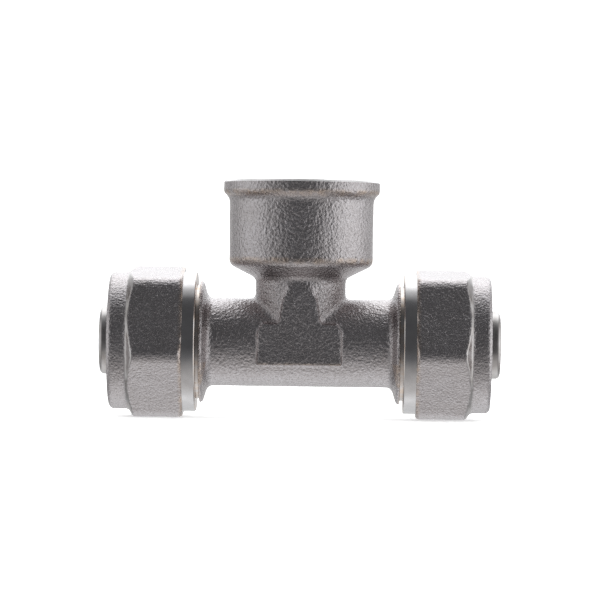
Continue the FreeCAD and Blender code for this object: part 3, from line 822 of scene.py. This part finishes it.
def white_plastic():
    """White fluoropolymer washer, waxy, with faint turning marks."""
    nodes = Nodes("plastic_white")
    mottle = nodes.noise(1.5, detail=3.0)
    tone = nodes.ramp(mottle, "Fac", [(0.3, (0.72, 0.72, 0.69)), (0.7, (0.84, 0.84, 0.82))])
    nodes.link(tone, "Color", nodes.shader, "Base Color")
    nodes.shader.inputs["Subsurface Weight"].default_value = 0.1
    gloss = nodes.range(mottle, "Fac", 0.3, 0.7, 0.38, 0.5)
    nodes.tree.links.new(gloss.outputs[0], nodes.shader.inputs["Roughness"])
    marks = nodes.noise(0.12, detail=1.0, place=nodes.swept("X"))
    nodes.bump([(marks.outputs["Fac"], 0.006, 0.8)])
    return nodes.material


def studio_paper():
    """White matt paper of the floor and wall, faintly mottled and glowing a little."""
    nodes = Nodes("studio_paper_white")
    fibre = nodes.noise(40.0, detail=2.0)
    tone = nodes.ramp(fibre, "Fac", [(0.3, (0.9, 0.9, 0.9)), (0.7, (0.93, 0.93, 0.93))])
    nodes.link(tone, "Color", nodes.shader, "Base Color")
    nodes.shader.inputs["Roughness"].default_value = 0.9
    nodes.shader.inputs["Specular IOR Level"].default_value = 0.1
    nodes.shader.inputs["Emission Color"].default_value = (1, 1, 1, 1)
    nodes.shader.inputs["Emission Strength"].default_value = 0.45
    return nodes.material


CLEAN_TONES = ((0.6, 0.575, 0.57), (0.68, 0.655, 0.65))
HANDLED_TONES = ((0.5, 0.46, 0.44), (0.7, 0.67, 0.66))
turned_faces = (turned_nickel("nickel_turned_x", "X", *CLEAN_TONES, (0.14, 0.2), 0.004),
                turned_nickel("nickel_turned_z", "Z", *CLEAN_TONES, (0.16, 0.24), 0.005),
                turned_nickel("nickel_handled", "X", *HANDLED_TONES, (0.22, 0.4), 0.008))
tee_metals = (forged_nickel("nickel_forged_tee", 0.4, 0.17, tee_wear), *turned_faces)
nut_metals = (forged_nickel("nickel_forged_nut", 0.32, 0.125, nut_wear), *turned_faces)

# ---------------------------------------------------------------- pieces

# The metals of the piece being built, which solid_from and remesh put in its slots.
metals = tee_metals
tee_piece = build_tee()
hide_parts("tee_body")
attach(tee_piece, "tee")

metals = nut_metals
for side in ("left", "right"):
    nut_piece = build_nut(side)
    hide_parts(side + "_nut")
    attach(nut_piece, side + "_nut")

brass_material = turned_brass()
rubber_material = o_ring_rubber()
plastic_material = white_plastic()
for side in ("left", "right"):
    for node, material in ((side + "_split_ring", brass_material),
                           (side + "_inner_o_ring", rubber_material),
                           (side + "_outer_o_ring", rubber_material),
                           (side + "_insulating_washer", plastic_material)):
        frame["nodes"][node].material_slots[0].material = material

# ---------------------------------------------------------------- stage, light, camera

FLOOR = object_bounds()[0][2] - 0.0001


def surround():
    """White floor that curves up into a wall all round; metal doesn't mirror it."""
    builder = bmesh.new()
    radius = 1.3
    curve = 0.3
    path = [(radius - curve, FLOOR)]
    for step in range(1, 13):
        angle = math.radians(90 * step / 12)
        path.append((radius - curve + curve * math.sin(angle), FLOOR + curve * (1 - math.cos(angle))))
    path.append((radius, 1.6))
    count = 96
    rows = [[builder.verts.new((reach * math.cos(TAU * index / count),
                                reach * math.sin(TAU * index / count), up))
             for index in range(count)] for reach, up in path]
    builder.faces.new(rows[0])
    for first, second in zip(rows, rows[1:]):
        for index in range(count):
            after = (index + 1) % count
            builder.faces.new([first[index], second[index], second[after], first[after]])
    mesh = bpy.data.meshes.new("studio_surround")
    builder.to_mesh(mesh)
    builder.free()
    mesh.shade_smooth()
    obj = new_object("studio_surround", mesh)
    mesh.materials.append(studio_paper())
    obj.visible_glossy = False


# Brightness of the studio by the angle round the run, in degrees: 0 is the front, 90 overhead,
# 180 the back, negative below.
AROUND = [(-180, 0.7), (-140, 0.8), (-104, 1.05), (-80, 0.66), (-58, 0.52), (-42, 0.37), (-25, 0.16),
          (-9, 0.09), (40, 0.085), (60, 0.085), (76, 0.13), (98, 0.78), (112, 1.8), (135, 1.9),
          (158, 1.6), (171, 1.1), (180, 0.7)]
# The same by the sideways part of the direction, -1 at the left and 1 at the right.
SIDEWAYS = [(-1, 0.78), (-0.93, 0.82), (-0.78, 0.42), (-0.6, 0.18), (-0.4, 0.1),
            (0.4, 0.1), (0.6, 0.22), (0.75, 0.52), (0.9, 1.0), (1, 1.3)]
# How far sideways a direction leans where the second table starts, and where it has taken over.
SIDE_FADE = (0.35, 0.65)

# Tints of the dim and of the bright parts, and the brightness below and above which they hold.
SHADOW_TINT = (0.97, 1.0, 1.05)
SHADOW_BELOW = 0.3
PANEL_TINT = (0.97, 1.0, 1.02)
PANEL_ABOVE = 0.7


def brightness_ramp(tree, value, low, high, stops):
    """Socket that gives the brightness between the stops (value, brightness)."""
    spread = tree.nodes.new("ShaderNodeMapRange")
    spread.inputs["From Min"].default_value = low
    spread.inputs["From Max"].default_value = high
    tree.links.new(value, spread.inputs["Value"])
    ramp = tree.nodes.new("ShaderNodeValToRGB")
    elements = ramp.color_ramp.elements
    while len(elements) < len(stops):
        elements.new(0.5)
    for element, (place, brightness) in zip(elements, stops):
        element.position = (place - low) / (high - low)
        tint = (1, 1, 1)
        if brightness < SHADOW_BELOW:
            tint = SHADOW_TINT
        elif brightness > PANEL_ABOVE:
            tint = PANEL_TINT
        element.color = (*(brightness * part for part in tint), 1)
    tree.links.new(spread.outputs["Result"], ramp.inputs["Fac"])
    return ramp.outputs["Color"]


def world_math(tree, operation, first, second=None):
    """Socket with the result of a maths operation on a socket and a socket or number."""
    node = tree.nodes.new("ShaderNodeMath")
    node.operation = operation
    tree.links.new(first, node.inputs[0])
    if isinstance(second, bpy.types.NodeSocket):
        tree.links.new(second, node.inputs[1])
    elif second is not None:
        node.inputs[1].default_value = second
    return node.outputs["Value"]


def studio():
    """Soft studio all round: dim in front, bright above and behind, softer panels at the sides."""
    world = bpy.data.worlds.new("studio")
    bpy.context.scene.world = world
    world.use_nodes = True
    tree = world.node_tree
    direction = tree.nodes.new("ShaderNodeTexCoord").outputs["Generated"]
    parts = tree.nodes.new("ShaderNodeSeparateXYZ")
    tree.links.new(direction, parts.inputs["Vector"])
    forward = world_math(tree, "MULTIPLY", parts.outputs["Y"], -1.0)
    angle = world_math(tree, "ARCTAN2", parts.outputs["Z"], forward)
    around = brightness_ramp(tree, world_math(tree, "DEGREES", angle), -180, 180, AROUND)
    sideways = brightness_ramp(tree, parts.outputs["X"], -1, 1, SIDEWAYS)
    lateral = tree.nodes.new("ShaderNodeMapRange")
    lateral.interpolation_type = "SMOOTHSTEP"
    lateral.inputs["From Min"].default_value = SIDE_FADE[0]
    lateral.inputs["From Max"].default_value = SIDE_FADE[1]
    tree.links.new(world_math(tree, "ABSOLUTE", parts.outputs["X"]), lateral.inputs["Value"])
    blend = tree.nodes.new("ShaderNodeMix")
    blend.data_type = "RGBA"
    tree.links.new(lateral.outputs["Result"], blend.inputs[0])
    tree.links.new(around, blend.inputs[6])
    tree.links.new(sideways, blend.inputs[7])
    back = tree.nodes["Background"]
    tree.links.new(blend.outputs[2], back.inputs["Color"])
    back.inputs["Strength"].default_value = 1.0
    key = bpy.data.lights.new("key", "AREA")
    key.shape = "RECTANGLE"
    key.size = 0.9
    key.size_y = 0.7
    key.energy = 4.5
    light = bpy.data.objects.new("key", key)
    light.location = (0, 0.1, 0.8)
    light.visible_camera = False
    light.visible_glossy = False
    bpy.context.scene.collection.objects.link(light)


FRAME_WIDTH = 0.1053


def camera():
    """Long lens, level with the run, a touch to the right and rolled like the subject."""
    data = bpy.data.cameras.new("camera")
    distance = 0.6
    data.sensor_width = 36
    data.lens = 36 * distance / FRAME_WIDTH
    data.clip_start = 0.01
    azimuth = math.radians(0.8)
    elevation = math.radians(0.5)
    roll = math.radians(0.75)
    target = Vector((-0.0001, 0.0, 0.0075))
    away = Vector((math.sin(azimuth) * math.cos(elevation),
                   -math.cos(azimuth) * math.cos(elevation), math.sin(elevation)))
    obj = bpy.data.objects.new("camera", data)
    obj.location = target + away * distance
    look = (-away).to_track_quat("-Z", "Y").to_matrix().to_4x4()
    obj.matrix_world = (Matrix.Translation(obj.location) @ look
                        @ Matrix.Rotation(roll, 4, "Z"))
    bpy.context.scene.collection.objects.link(obj)
    bpy.context.scene.camera = obj


surround()
studio()
camera()
view = bpy.context.scene.view_settings
view.view_transform = "Standard"
view.look = "None"
view.exposure = 0.0
view.gamma = 1.0
